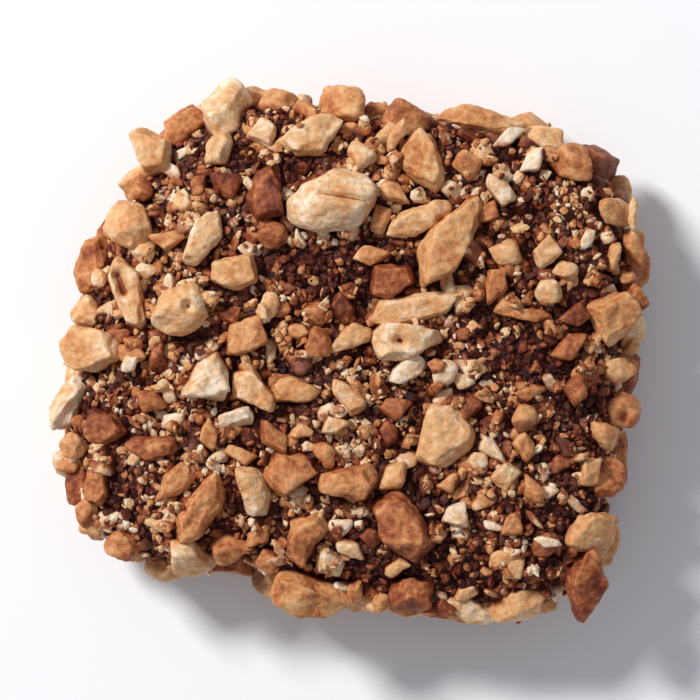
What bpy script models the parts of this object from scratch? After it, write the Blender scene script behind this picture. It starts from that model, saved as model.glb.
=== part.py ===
# A square of almond butter crunch: a slab of toffee dipped in dark chocolate
# and coated all over with chopped roasted almonds, as one solid.
# Metres, +Z up. The origin is under the middle of the piece, on the surface it lies on.

import math
import random

import bmesh
import bpy
from mathutils import Matrix, Vector

MM = 0.001
NAME = "almond_butter_crunch"

# one seed for where the scattered pieces go, and one for each piece's lean and shape
SCATTER_SEED = 44
LEAN_SEED = 29000
SHAPE_SEED = 58000

# the dipped slab inside the nuts, in mm
SLAB_LENGTH = 43.6
SLAB_WIDTH = 39.8
SLAB_THICKNESS = 10.8
SLAB_BOTTOM = 1.7
SLAB_TURN = math.radians(-7)
SLAB_SQUARENESS = 4.8
EDGE_ROUNDNESS = 4.0
SLAB_MESH_DETAIL = 3
NORMAL_STEP = 0.02
SLAB_WAVE = 0.35
# a hand-cut square: where its outline swells (+) or falls short (-), and over how wide an angle
SLAB_BULGES = (
    (110, 0.5, 18),
    (135, -2.4, 16),
    (180, 0.9, 22),
    (240, -2.2, 11),
    (318, 1.2, 12),
    (350, 0.3, 20),
)

# the pieces of almond that show on the top and round its rim, in mm and degrees:
# x, y, length, width, turn from +x of the narrow end, and how much narrower that end is
KERNELS = (
    (-2.1, 12.7, 8.2, 6.3, 198, 0.35), (-14.4, 3.8, 5.6, 4.6, 25, 0.1), (5.6, 11.5, 6.2, 2.7, 24, 0.35),
    (-18.7, 10.7, 4.8, 4.2, -50, 0.1), (21.9, -1.1, 3.7, 2.5, 172, 0.3), (22.5, -4.7, 3.5, 3.2, -30, 0.1),
    (16.2, 5.3, 2.6, 2.3, 10, 0.0), (-6.8, 10.0, 2.8, 2.4, 0, 0.1), (-23.6, -7.6, 2.6, 2.3, -15, 0.1),
)
CHUNKS = (
    (7.8, 9.7, 8.6, 4.7, 52, 0.55), (-22.0, 7.4, 5.2, 3.2, 75, 0.1), (-17.3, 17.3, 4.4, 3.5, -45, 0.1),
    (-12.6, 9.8, 4.8, 3.4, 65, 0.45), (-9.8, 7.0, 4.7, 3.4, 12, 0.15), (-4.0, 18.1, 5.6, 3.6, 200, 0.5),
    (-7.8, 18.6, 3.6, 2.2, -28, 0.2), (-11.2, 17.2, 3.8, 2.4, 85, 0.1), (-7.2, 13.4, 4.6, 3.8, 70, 0.1),
    (9.4, 15.9, 3.0, 2.8, 50, 0.3), (13.0, 18.5, 3.2, 1.7, 35, 0.1), (14.8, 16.2, 3.0, 2.0, 50, 0.2),
    (12.4, 13.6, 3.8, 2.2, -60, 0.3), (21.5, 3.0, 5.0, 4.8, -20, 0.15), (23.7, 4.7, 2.7, 2.3, 80, 0.1),
    (23.8, 9.0, 3.5, 2.5, -75, 0.2), (19.6, -9.6, 3.2, 2.5, 70, 0.4), (19.5, -19.4, 6.2, 4.2, -102, 0.6),
    (11.8, 6.2, 3.4, 2.5, 80, 0.3), (16.0, 8.8, 3.2, 2.6, 85, 0.2), (18.0, 0.8, 3.2, 2.0, 40, 0.2),
    (3.0, 6.4, 4.7, 3.0, 8, 0.1), (4.2, 1.3, 5.3, 3.6, 5, 0.2), (-3.2, 1.0, 3.2, 2.8, -15, 0.1),
    (-0.5, 1.3, 4.0, 2.5, 215, 0.45), (-8.9, 1.7, 4.4, 3.2, 40, 0.1), (-21.8, 0.5, 5.4, 3.8, -10, 0.2),
    (-24.0, -4.0, 5.0, 3.5, 235, 0.4), (-12.2, -2.0, 4.9, 4.9, 72, 0.7), (-8.4, -2.9, 4.4, 3.1, -40, 0.15),
    (-9.8, -5.2, 3.1, 2.8, 20, 0.1), (4.6, -0.9, 4.0, 2.3, 220, 0.4), (-4.9, -3.0, 4.2, 2.5, -5, 0.2),
    (3.8, -14.0, 7.0, 4.3, -55, 0.1), (-5.2, -9.8, 4.7, 3.9, -10, 0.0), (-0.4, -10.6, 4.5, 4.2, 10, 0.1),
    (-8.6, -11.3, 4.6, 3.6, -65, 0.35), (-3.8, -15.2, 4.8, 4.0, 80, 0.25), (-12.9, -13.0, 6.5, 2.9, 60, 0.1),
    (-15.0, -10.6, 4.1, 2.2, 45, 0.1), (-10.4, -16.0, 3.7, 2.6, 15, 0.2), (-3.6, -20.2, 6.6, 4.4, -12, 0.5),
    (-19.6, -16.2, 3.8, 3.2, 60, 0.1), (-22.6, -13.0, 3.6, 2.2, -80, 0.1), (-21.6, -10.6, 4.6, 2.3, 88, 0.1),
    (-21.0, -6.0, 4.0, 3.0, -20, 0.1), (-17.0, -7.6, 4.4, 2.4, 10, 0.1), (8.6, -13.6, 2.7, 2.3, 70, 0.2),
    (12.6, -10.2, 2.7, 2.4, 60, 0.1), (13.2, -14.2, 2.8, 2.0, 70, 0.2), (13.3, -17.7, 2.7, 2.1, 60, 0.2),
    (-12.2, -6.6, 3.2, 1.9, 85, 0.3), (-18.8, 5.0, 6.2, 2.8, -72, 0.1), (-16.0, 9.6, 3.4, 2.2, 15, 0.3),
    (-0.4, -3.6, 3.8, 2.1, -60, 0.2), (-1.0, 4.0, 2.7, 2.3, 80, 0.1), (18.2, 3.5, 2.7, 2.3, 0, 0.1),
    (21.4, 8.3, 3.0, 2.1, 60, 0.2), (3.4, 13.8, 2.9, 2.2, -45, 0.2), (11.0, 12.0, 2.7, 2.1, 20, 0.2),
    (1.4, 8.4, 3.0, 1.8, 0, 0.1), (-1.6, -5.8, 2.8, 1.7, 15, 0.1), (14.4, 3.4, 4.0, 1.7, -5, 0.3),
    (11.6, -8.0, 3.0, 1.7, -50, 0.3), (14.2, -7.6, 2.7, 2.3, 85, 0.1), (7.2, -21.4, 2.8, 1.8, 0, 0.2),
)
PLATES = (
    (5.6, 16.2, 5.8, 4.0, 108, 0.3), (10.6, 19.9, 7.6, 2.5, -5, 0.4), (19.8, -14.8, 5.2, 3.8, 195, 0.3),
    (5.2, 4.0, 8.2, 2.6, 11, 0.1), (7.4, -6.8, 5.8, 4.8, 240, 0.25), (9.8, -21.4, 4.4, 2.2, -25, 0.3),
)

# the rest, largest first: length low and high, the most there may be, and how far apart
# neighbours' middles stay, as a share of their mean half sizes added
SCATTER_SIZES = (
    (5.0, 6.6, 46, 0.92),
    (3.8, 5.0, 56, 0.92),
    (2.5, 3.7, 86, 0.90),
)
TRIES_EACH = 60
TOP_SHARE = 0.34
SIDE_SHARE = 0.40
SIDE_TILT = math.radians(50)
KERNEL_SHARE = 0.2
WIDTH_TO_LENGTH = (0.55, 0.85)
RANDOM_LEAN = 0.3
# where the surface faces up this much, only pieces up to this length are added to the tables',
# and none where crumbs alone cover the chocolate: x, y, half width and half height in mm
TOP_FACING = 0.7
LONGEST_ON_TOP = 3.2
CRUMB_PATCHES = (
    (-3.5, 7.5, 4.6, 2.2), (13.6, -0.4, 4.0, 3.4), (9.1, -17.6, 3.4, 3.0), (18.8, 13.1, 4.4, 3.4),
    (-11.0, 20.0, 5.8, 3.0), (-18.4, -10.0, 2.5, 4.6), (-19.5, -2.5, 2.8, 1.6), (16.0, -13.0, 2.2, 1.6),
    (19.4, -5.0, 2.2, 2.6), (8.6, 1.6, 2.2, 2.2), (-9.0, 12.4, 2.4, 1.6), (-11.0, -12.6, 1.4, 2.8),
)

HEIGHT_TO_WIDTH = {"kernel": 0.82, "chunk": 0.80, "plate": 0.42}
# how far a piece's middle stands off the chocolate, as a share of its height
LIFT = {"kernel": 0.26, "chunk": 0.20, "plate": 0.32}
# a cleaved piece is a block of a few uneven corners, narrower on top: how many up to each length
CORNER_COUNTS = ((3.7, 4), (5.2, 5), (math.inf, 6))
CORNER_PULL = (1.0, 1.22)
CORNER_SHIFT = 0.35
TOP_TAPER = (0.58, 0.95)
TOP_UNEVEN = (0.55, 1.0)
KERNEL_POINTS = 12
KERNEL_PULL = (1.0, 1.08)
# below this the surface counts as a side, where a turn is measured from level
STEEP = 0.5
# pieces past this share of the slab's outline are stuck to its side, at a height above its
# middle given as a share of half its thickness
RIM = 0.985
RIM_HEIGHT = (0.30, 0.75)
RIM_OUTWARD = 0.35
TOP_UPRIGHT = 0.6

ROAST_ALMOND = (0.445, 0.225, 0.105, 1.0)


def outline_radius(angle):
    # a rounded square turned a little, with its swellings
    local = angle - SLAB_TURN
    across = abs(math.cos(local) / (SLAB_LENGTH / 2)) ** SLAB_SQUARENESS
    along = abs(math.sin(local) / (SLAB_WIDTH / 2)) ** SLAB_SQUARENESS
    radius = (across + along) ** (-1 / SLAB_SQUARENESS)
    for centre, amount, spread in SLAB_BULGES:
        off = math.remainder(math.degrees(angle) - centre, 360)
        radius += amount * math.exp(-((off / spread) ** 2))
    return radius


def slab_middle():
    return SLAB_BOTTOM + SLAB_THICKNESS / 2


def wave(angle, ring):
    # the uneven thickness of a coat of chocolate
    swell = math.sin(3 * angle + 4 * ring) + math.sin(5 * angle - 7 * ring) * ring
    return 1 + SLAB_WAVE * swell / SLAB_THICKNESS


def slab_point(angle, tilt):
    # the slab's surface, from the angle round it and the angle above its middle
    flat = abs(math.cos(tilt))
    steep = math.sin(tilt)
    stretch = (flat**EDGE_ROUNDNESS + abs(steep) ** EDGE_ROUNDNESS) ** (-1 / EDGE_ROUNDNESS)
    ring = flat * stretch
    reach = ring * outline_radius(angle)
    height = SLAB_THICKNESS / 2 * steep * stretch * wave(angle, ring)
    return Vector((reach * math.cos(angle), reach * math.sin(angle), slab_middle() + height))


def tilt_of_ring(ring):
    rise = (1 - ring**EDGE_ROUNDNESS) ** (1 / EDGE_ROUNDNESS)
    return math.atan2(rise, ring)


def slab_normal(angle, tilt):
    along = slab_point(angle + NORMAL_STEP, tilt) - slab_point(angle - NORMAL_STEP, tilt)
    up = slab_point(angle, tilt + NORMAL_STEP) - slab_point(angle, tilt - NORMAL_STEP)
    return along.cross(up).normalized()


def facing(normal, turn):
    # a piece's own axes: its length lies along the surface, its height stands off it
    length_axis = Vector((math.cos(turn), math.sin(turn), 0))
    if abs(normal.z) < STEEP:
        round_side = Vector((0, 0, 1)).cross(normal).normalized()
        length_axis = round_side * math.cos(turn) + normal.cross(round_side) * math.sin(turn)
    length_axis = (length_axis - normal * length_axis.dot(normal)).normalized()
    width_axis = normal.cross(length_axis)
    return Matrix((length_axis, width_axis, normal)).transposed()


def make_piece(kind, foot, normal, length, width, turn, narrowing=0.0):
    height = width * HEIGHT_TO_WIDTH[kind]
    return {
        "kind": kind,
        "centre": foot + normal * height * LIFT[kind],
        "axes": facing(normal, turn),
        "size": (length, width, height),
        "narrowing": narrowing,
    }


def piece_by_hand(kind, index, x, y, length, width, turn_degrees, narrowing):
    rng = random.Random(LEAN_SEED + index)
    angle = math.atan2(y, x)
    ring = math.hypot(x, y) / outline_radius(angle)
    lean = Vector((rng.uniform(-1, 1), rng.uniform(-1, 1), 0)) * RANDOM_LEAN / 2
    turn = math.radians(turn_degrees)
    if ring < RIM:
        foot = slab_point(angle, tilt_of_ring(ring))
        upright = slab_normal(angle, tilt_of_ring(ring)) + Vector((0, 0, TOP_UPRIGHT))
        normal = (upright + lean).normalized()
        return make_piece(kind, foot, normal, length, width, turn, narrowing)
    rise = rng.uniform(*RIM_HEIGHT) * SLAB_THICKNESS / 2
    height = width * HEIGHT_TO_WIDTH[kind]
    outward = Vector((x, y, 0)).normalized() * RIM_OUTWARD
    normal = (outward + Vector((0, 0, 1)) + lean).normalized()
    foot = Vector((x, y, slab_middle() + rise)) - normal * height * LIFT[kind]
    return make_piece(kind, foot, normal, length, width, turn, narrowing)


def pieces_by_hand():
    pieces = []
    for kind, table in (("kernel", KERNELS), ("chunk", CHUNKS), ("plate", PLATES)):
        for row in table:
            pieces.append(piece_by_hand(kind, len(pieces), *row))
    return pieces


def random_place(rng):
    angle = rng.uniform(-math.pi, math.pi)
    share = rng.random()
    if share < SIDE_SHARE:
        return angle, rng.uniform(-SIDE_TILT, SIDE_TILT)
    tilt = tilt_of_ring(math.sqrt(rng.random()))
    return angle, tilt if share < SIDE_SHARE + TOP_SHARE else -tilt


def among_crumbs(foot):
    for x, y, half_width, half_height in CRUMB_PATCHES:
        if math.hypot((foot.x - x) / half_width, (foot.y - y) / half_height) < 1:
            return True
    return False


def scatter(pieces):
    # the largest first, each kept clear of those already there
    rng = random.Random(SCATTER_SEED)
    for low, high, most, spacing in SCATTER_SIZES:
        placed = 0
        for _ in range(most * TRIES_EACH):
            if placed == most:
                break
            angle, tilt = random_place(rng)
            length = rng.uniform(low, high)
            width = length * rng.uniform(*WIDTH_TO_LENGTH)
            turn = rng.uniform(-math.pi, math.pi)
            lean = Vector([rng.uniform(-RANDOM_LEAN, RANDOM_LEAN) for _ in range(3)])
            foot = slab_point(angle, tilt)
            normal = slab_normal(angle, tilt)
            if normal.z > TOP_FACING and (length > LONGEST_ON_TOP or among_crumbs(foot)):
                continue
            kind = "kernel" if rng.random() < KERNEL_SHARE else "chunk"
            piece = make_piece(kind, foot, (normal + lean).normalized(), length, width, turn)
            if all(stands_clear(piece, other, spacing) for other in pieces):
                pieces.append(piece)
                placed += 1
    return pieces


def stands_clear(piece, other, spacing):
    gap = (piece["centre"] - other["centre"]).length
    reach = (piece["size"][0] + piece["size"][1] + other["size"][0] + other["size"][1]) / 4
    return gap > reach * spacing


def corner_points(rng, piece):
    # in halves of the piece's size; its width and height lessen toward the narrow end
    points = rounded_points(rng) if piece["kind"] == "kernel" else cleaved_points(rng, piece["size"][0])
    narrowed = []
    for x, y, z in points:
        left = 1 - piece["narrowing"] * (1 + x) / 2
        narrowed.append((x, y * left, z if z < 0 else z * math.sqrt(left)))
    return [[part * side / 2 for part, side in zip(point, piece["size"])] for point in narrowed]


def cleaved_points(rng, length):
    # as a nut breaks under a knife: a foot of uneven corners and a smaller, tilted top
    points = []
    corners = next(count for longest, count in CORNER_COUNTS if length < longest)
    start = rng.uniform(0, math.tau)
    for index in range(corners):
        angle = start + (index + rng.uniform(-CORNER_SHIFT, CORNER_SHIFT)) * math.tau / corners
        pull = rng.uniform(*CORNER_PULL)
        taper = rng.uniform(*TOP_TAPER)
        x = math.cos(angle) * pull
        y = math.sin(angle) * pull
        points.append((x, y, -1))
        points.append((x * taper, y * taper, rng.uniform(*TOP_UNEVEN)))
    return points


def rounded_points(rng):
    # points spread evenly over an egg shape
    points = []
    for index in range(KERNEL_POINTS):
        height = 1 - 2 * (index + 0.5) / KERNEL_POINTS
        ring = math.sqrt(1 - height * height)
        angle = index * math.pi * (3 - math.sqrt(5))
        pull = rng.uniform(*KERNEL_PULL)
        points.append((ring * math.cos(angle) * pull, ring * math.sin(angle) * pull, height * pull))
    return points


def new_object(name, bm, collection):
    mesh = bpy.data.meshes.new(name)
    bm.to_mesh(mesh)
    bm.free()
    obj = bpy.data.objects.new(name, mesh)
    collection.objects.link(obj)
    return obj


def build_slab(collection):
    bm = bmesh.new()
    bmesh.ops.create_icosphere(bm, subdivisions=SLAB_MESH_DETAIL, radius=1)
    for vert in bm.verts:
        angle = math.atan2(vert.co.y, vert.co.x)
        tilt = math.atan2(vert.co.z, math.hypot(vert.co.x, vert.co.y))
        vert.co = slab_point(angle, tilt) * MM
    return new_object(NAME, bm, collection)


def build_piece(index, piece, collection):
    rng = random.Random(SHAPE_SEED + index)
    bm = bmesh.new()
    for point in corner_points(rng, piece):
        bm.verts.new((piece["axes"] @ Vector(point) + piece["centre"]) * MM)
    hull = bmesh.ops.convex_hull(bm, input=bm.verts)
    unused = [item for item in hull["geom_interior"] if isinstance(item, bmesh.types.BMVert)]
    bmesh.ops.delete(bm, geom=unused, context="VERTS")
    bmesh.ops.recalc_face_normals(bm, faces=bm.faces)
    return new_object(f"nut_{index:03d}", bm, collection)


def build_floor_cutter(collection):
    # levels the nuts underneath, which were pressed flat as the chocolate set
    bm = bmesh.new()
    depth = 10 * MM
    width = 80 * MM
    place = Matrix.Translation((0, 0, -depth / 2)) @ Matrix.Diagonal((width, width, depth, 1))
    bmesh.ops.create_cube(bm, size=1, matrix=place)
    cutter = new_object("floor_cutter", bm, collection)
    cutter.hide_render = True
    cutter.display_type = "WIRE"
    return cutter


def islands_of(bm):
    left = set(bm.verts)
    while left:
        stack = [left.pop()]
        island = set(stack)
        while stack:
            for edge in stack.pop().link_edges:
                for vert in edge.verts:
                    if vert in left:
                        left.remove(vert)
                        island.add(vert)
                        stack.append(vert)
        yield island


def island_volume(island):
    volume = 0
    for face in {face for vert in island for face in vert.link_faces}:
        first = face.verts[0].co
        for second, third in zip(face.verts[1:], face.verts[2:]):
            volume += first.dot(second.co.cross(third.co)) / 6
    return volume


def keep_one_body(bm):
    # a sealed hollow is filled and a loose scrap dropped
    islands = sorted(islands_of(bm), key=island_volume)
    for island in islands[:-1]:
        bmesh.ops.delete(bm, geom=list(island), context="VERTS")


def centre_over_origin(bm):
    low = Vector([min(vert.co[axis] for vert in bm.verts) for axis in range(3)])
    high = Vector([max(vert.co[axis] for vert in bm.verts) for axis in range(3)])
    shift = -(low + high) / 2
    bmesh.ops.translate(bm, vec=(shift.x, shift.y, 0), verts=bm.verts)


def fuse(slab, nuts, cutter):
    union = slab.modifiers.new("nuts", "BOOLEAN")
    union.operation = "UNION"
    union.operand_type = "COLLECTION"
    union.collection = nuts
    union.solver = "EXACT"
    level = slab.modifiers.new("floor", "BOOLEAN")
    level.operation = "DIFFERENCE"
    level.object = cutter
    level.solver = "EXACT"
    graph = bpy.context.evaluated_depsgraph_get()
    fused = bpy.data.meshes.new_from_object(slab.evaluated_get(graph))
    slab.modifiers.clear()
    bm = bmesh.new()
    bm.from_mesh(fused)
    bmesh.ops.triangulate(bm, faces=bm.faces)
    keep_one_body(bm)
    centre_over_origin(bm)
    bm.to_mesh(slab.data)
    bm.free()
    for obj in [*nuts.objects, cutter]:
        bpy.data.objects.remove(obj)


def almond_material():
    material = bpy.data.materials.new("roast_almond_on_dark_chocolate")
    material.use_nodes = True
    shader = material.node_tree.nodes["Principled BSDF"]
    shader.inputs["Base Color"].default_value = ROAST_ALMOND
    shader.inputs["Roughness"].default_value = 0.55
    shader.inputs["Metallic"].default_value = 0.0
    return material


def new_collection(name):
    collection = bpy.data.collections.new(name)
    bpy.context.scene.collection.children.link(collection)
    return collection


def main():
    for obj in list(bpy.data.objects):
        bpy.data.objects.remove(obj)
    sweet = new_collection(NAME)
    nuts = new_collection("loose_nuts")
    cutters = new_collection("cutters")
    slab = build_slab(sweet)
    for index, piece in enumerate(scatter(pieces_by_hand())):
        build_piece(index, piece, nuts)
    fuse(slab, nuts, build_floor_cutter(cutters))
    slab.data.materials.append(almond_material())
    slab.data.shade_flat()


main()
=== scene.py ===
import math
import random
from functools import cache
from itertools import product

import bmesh
import bpy
import numpy as np
from mathutils import Matrix, Vector, noise
from mathutils.bvhtree import BVHTree


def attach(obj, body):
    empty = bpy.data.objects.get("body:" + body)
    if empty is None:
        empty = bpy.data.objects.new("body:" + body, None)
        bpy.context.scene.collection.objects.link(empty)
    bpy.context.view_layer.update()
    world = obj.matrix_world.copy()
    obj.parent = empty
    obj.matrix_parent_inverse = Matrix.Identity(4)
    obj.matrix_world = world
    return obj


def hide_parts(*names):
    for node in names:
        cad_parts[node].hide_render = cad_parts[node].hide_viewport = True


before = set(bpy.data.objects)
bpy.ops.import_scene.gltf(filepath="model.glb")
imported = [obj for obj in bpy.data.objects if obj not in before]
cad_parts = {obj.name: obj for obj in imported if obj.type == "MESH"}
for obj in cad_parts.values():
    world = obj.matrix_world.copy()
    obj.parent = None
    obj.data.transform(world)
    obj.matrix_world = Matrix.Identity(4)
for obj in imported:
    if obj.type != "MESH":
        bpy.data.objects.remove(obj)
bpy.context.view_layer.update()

crunchNode = "almond_butter_crunch"
mm = 0.001

# the dipped toffee under the nuts, in mm: a hand-cut square, turned a little
slab = {
    "length": 43.6,
    "width": 39.8,
    "thickness": 10.8,
    "bottom": 1.7,
    "turn": math.radians(-7),
    "squareness": 4.8,
    "edgeRoundness": 4.0,
    "wave": 0.35,
    "bulges": (  # where the outline swells or falls in: direction, how far, and how wide, in degrees
        (110, 0.5, 18), (135, -2.4, 16), (180, 0.9, 22), (240, -2.2, 11), (318, 1.2, 12), (350, 0.3, 20),
    ),
    "normalStep": 0.02,
}
slabMiddle = slab["bottom"] + slab["thickness"] / 2

# the pieces on top and round the rim: x, y, length, width, turn of the narrow end, how much narrower
# that end is, and tone from 0 brown to 1 cream
largePieces = {
    "kernel": (
        (-2.1, 12.7, 8.2, 6.3, 198, 0.35, 0.76), (-14.4, 3.8, 5.6, 4.6, 25, 0.1, 0.68),
        (5.6, 11.5, 6.2, 2.7, 24, 0.35, 0.62), (-18.7, 10.7, 4.8, 4.2, -50, 0.1, 0.60),
        (21.9, -1.1, 3.7, 2.5, 172, 0.3, 0.60), (22.5, -4.7, 3.5, 3.2, -30, 0.1, 0.36),
        (16.2, 5.3, 2.6, 2.3, 10, 0.0, 0.66), (-6.8, 10.0, 2.8, 2.4, 0, 0.1, 0.22),
        (-23.6, -7.6, 2.6, 2.3, -15, 0.1, 0.42),
    ),
    "chunk": (
        (7.8, 9.7, 8.6, 4.7, 52, 0.55, 0.55), (-22.0, 7.4, 5.2, 3.2, 75, 0.1, 0.34),
        (-17.3, 17.3, 4.4, 3.5, -45, 0.1, 0.68), (-12.6, 9.8, 4.8, 3.4, 65, 0.45, 0.80),
        (-9.8, 7.0, 4.7, 3.4, 12, 0.15, 0.62), (-4.0, 18.1, 5.6, 3.6, 200, 0.5, 0.70),
        (-7.8, 18.6, 3.6, 2.2, -28, 0.2, 0.72), (-11.2, 17.2, 3.8, 2.4, 85, 0.1, 0.80),
        (-7.2, 13.4, 4.6, 3.8, 70, 0.1, 0.12), (9.4, 15.9, 3.0, 2.8, 50, 0.3, 0.40),
        (13.0, 18.5, 3.2, 1.7, 35, 0.1, 0.94), (14.8, 16.2, 3.0, 2.0, 50, 0.2, 0.96),
        (12.4, 13.6, 3.8, 2.2, -60, 0.3, 0.86), (21.5, 3.0, 5.0, 4.8, -20, 0.15, 0.52),
        (23.7, 4.7, 2.7, 2.3, 80, 0.1, 0.24), (23.8, 9.0, 3.5, 2.5, -75, 0.2, 0.54),
        (19.6, -9.6, 3.2, 2.5, 70, 0.4, 0.60), (19.5, -19.4, 6.2, 4.2, -102, 0.6, 0.18),
        (11.8, 6.2, 3.4, 2.5, 80, 0.3, 0.48), (16.0, 8.8, 3.2, 2.6, 85, 0.2, 0.64),
        (18.0, 0.8, 3.2, 2.0, 40, 0.2, 0.32), (3.0, 6.4, 4.7, 3.0, 8, 0.1, 0.22),
        (4.2, 1.3, 5.3, 3.6, 5, 0.2, 0.76), (-3.2, 1.0, 3.2, 2.8, -15, 0.1, 0.34),
        (-0.5, 1.3, 4.0, 2.5, 215, 0.45, 0.68), (-8.9, 1.7, 4.4, 3.2, 40, 0.1, 0.54),
        (-21.8, 0.5, 5.4, 3.8, -10, 0.2, 0.70), (-24.0, -4.0, 5.0, 3.5, 235, 0.4, 0.90),
        (-12.2, -2.0, 4.9, 4.9, 72, 0.7, 0.84), (-8.4, -2.9, 4.4, 3.1, -40, 0.15, 0.66),
        (-9.8, -5.2, 3.1, 2.8, 20, 0.1, 0.96), (4.6, -0.9, 4.0, 2.3, 220, 0.4, 0.94),
        (-4.9, -3.0, 4.2, 2.5, -5, 0.2, 0.56), (3.8, -14.0, 7.0, 4.3, -55, 0.1, 0.26),
        (-5.2, -9.8, 4.7, 3.9, -10, 0.0, 0.42), (-0.4, -10.6, 4.5, 4.2, 10, 0.1, 0.44),
        (-8.6, -11.3, 4.6, 3.6, -65, 0.35, 0.74), (-3.8, -15.2, 4.8, 4.0, 80, 0.25, 0.42),
        (-12.9, -13.0, 6.5, 2.9, 60, 0.1, 0.48), (-15.0, -10.6, 4.1, 2.2, 45, 0.1, 0.50),
        (-10.4, -16.0, 3.7, 2.6, 15, 0.2, 0.44), (-3.6, -20.2, 6.6, 4.4, -12, 0.5, 0.50),
        (-19.6, -16.2, 3.8, 3.2, 60, 0.1, 0.38), (-22.6, -13.0, 3.6, 2.2, -80, 0.1, 0.46),
        (-21.6, -10.6, 4.6, 2.3, 88, 0.1, 0.32), (-21.0, -6.0, 4.0, 3.0, -20, 0.1, 0.18),
        (-17.0, -7.6, 4.4, 2.4, 10, 0.1, 0.22), (8.6, -13.6, 2.7, 2.3, 70, 0.2, 0.92),
        (12.6, -10.2, 2.7, 2.4, 60, 0.1, 0.76), (13.2, -14.2, 2.8, 2.0, 70, 0.2, 0.40),
        (13.3, -17.7, 2.7, 2.1, 60, 0.2, 0.70), (-12.2, -6.6, 3.2, 1.9, 85, 0.3, 0.50),
        (-18.8, 5.0, 6.2, 2.8, -72, 0.1, 0.72), (-16.0, 9.6, 3.4, 2.2, 15, 0.3, 0.54),
        (-0.4, -3.6, 3.8, 2.1, -60, 0.2, 0.66), (-1.0, 4.0, 2.7, 2.3, 80, 0.1, 0.16),
        (18.2, 3.5, 2.7, 2.3, 0, 0.1, 0.18), (21.4, 8.3, 3.0, 2.1, 60, 0.2, 0.62),
        (3.4, 13.8, 2.9, 2.2, -45, 0.2, 0.64), (11.0, 12.0, 2.7, 2.1, 20, 0.2, 0.36),
        (1.4, 8.4, 3.0, 1.8, 0, 0.1, 0.56), (-1.6, -5.8, 2.8, 1.7, 15, 0.1, 0.72),
        (14.4, 3.4, 4.0, 1.7, -5, 0.3, 0.34), (11.6, -8.0, 3.0, 1.7, -50, 0.3, 0.92),
        (14.2, -7.6, 2.7, 2.3, 85, 0.1, 0.50), (7.2, -21.4, 2.8, 1.8, 0, 0.2, 0.22),
    ),
    "plate": (
        (5.6, 16.2, 5.8, 4.0, 108, 0.3, 0.56), (10.6, 19.9, 7.6, 2.5, -5, 0.4, 0.58),
        (19.8, -14.8, 5.2, 3.8, 195, 0.3, 0.62), (5.2, 4.0, 8.2, 2.6, 11, 0.1, 0.66),
        (7.4, -6.8, 5.8, 4.8, 240, 0.25, 0.66), (9.8, -21.4, 4.4, 2.2, -25, 0.3, 0.84),
    ),
}

# how pieces of almond are broken and stuck on, as the solid has them
nutRules = {
    "scatterSeed": 44,
    "leanSeed": 29000,
    "shapeSeed": 58000,
    "sizes": (  # shortest, longest, most, and how far apart
        (5.0, 6.6, 46, 0.92), (3.8, 5.0, 56, 0.92), (2.5, 3.7, 86, 0.90),
    ),
    "triesEach": 60,
    "topShare": 0.34,
    "sideShare": 0.40,
    "sideTilt": math.radians(50),
    "kernelShare": 0.2,
    "widthToLength": (0.55, 0.85),
    "lean": 0.3,
    "topFacing": 0.7,
    "longestOnTop": 3.2,
    "heightToWidth": {"kernel": 0.82, "chunk": 0.80, "plate": 0.42},
    "lift": {"kernel": 0.26, "chunk": 0.20, "plate": 0.32},
    "cornerCounts": ((3.7, 4), (5.2, 5), (math.inf, 6)),  # up to each length
    "cornerPull": (1.0, 1.22),
    "cornerShift": 0.35,
    "topTaper": (0.58, 0.95),
    "topUneven": (0.55, 1.0),
    "kernelPoints": 12,
    "kernelPull": (1.0, 1.08),
    "steep": 0.5,
    "rim": 0.985,
    "rimHeight": (0.30, 0.75),
    "rimOutward": 0.35,
    "topUpright": 0.6,
    # some are well browned, most golden tan, a few still cream inside
    "tones": ((0.16, (0.15, 0.40)), (0.86, (0.42, 0.74)), (1.00, (0.74, 0.90))),
}
# where crumbs alone cover the chocolate on top: x, y, half width, half height
crumbPatches = (
    (-3.5, 7.5, 4.6, 2.2), (13.6, -0.4, 4.0, 3.4), (9.1, -17.6, 3.4, 3.0), (18.8, 13.1, 4.4, 3.4),
    (-11.0, 20.0, 5.8, 3.0), (-18.4, -10.0, 2.5, 4.6), (-19.5, -2.5, 2.8, 1.6), (16.0, -13.0, 2.2, 1.6),
    (19.4, -5.0, 2.2, 2.6), (8.6, 1.6, 2.2, 2.2), (-9.0, 12.4, 2.4, 1.6), (-11.0, -12.6, 1.4, 2.8),
)


def insideAny(patches, x, y):
    return any(math.hypot((x - px) / width, (y - py) / height) < 1 for px, py, width, height in patches)


def outlineRadius(angle):
    # from the middle to the edge of the slab, at one angle
    local = angle - slab["turn"]
    across = abs(math.cos(local) / (slab["length"] / 2)) ** slab["squareness"]
    along = abs(math.sin(local) / (slab["width"] / 2)) ** slab["squareness"]
    radius = (across + along) ** (-1 / slab["squareness"])
    for centre, amount, spread in slab["bulges"]:
        off = math.remainder(math.degrees(angle) - centre, 360)
        radius += amount * math.exp(-((off / spread) ** 2))
    return radius


def wave(angle, ring):
    swell = math.sin(3 * angle + 4 * ring) + math.sin(5 * angle - 7 * ring) * ring
    return 1 + slab["wave"] * swell / slab["thickness"]


def slabPoint(angle, tilt):
    # on the slab's skin: the angle goes round it, the tilt from underside over rim to top
    flat, steep, power = abs(math.cos(tilt)), math.sin(tilt), slab["edgeRoundness"]
    stretch = (flat**power + abs(steep) ** power) ** (-1 / power)
    reach = flat * stretch * outlineRadius(angle)
    height = slab["thickness"] / 2 * steep * stretch * wave(angle, flat * stretch)
    return Vector((reach * math.cos(angle), reach * math.sin(angle), slabMiddle + height))


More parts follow.
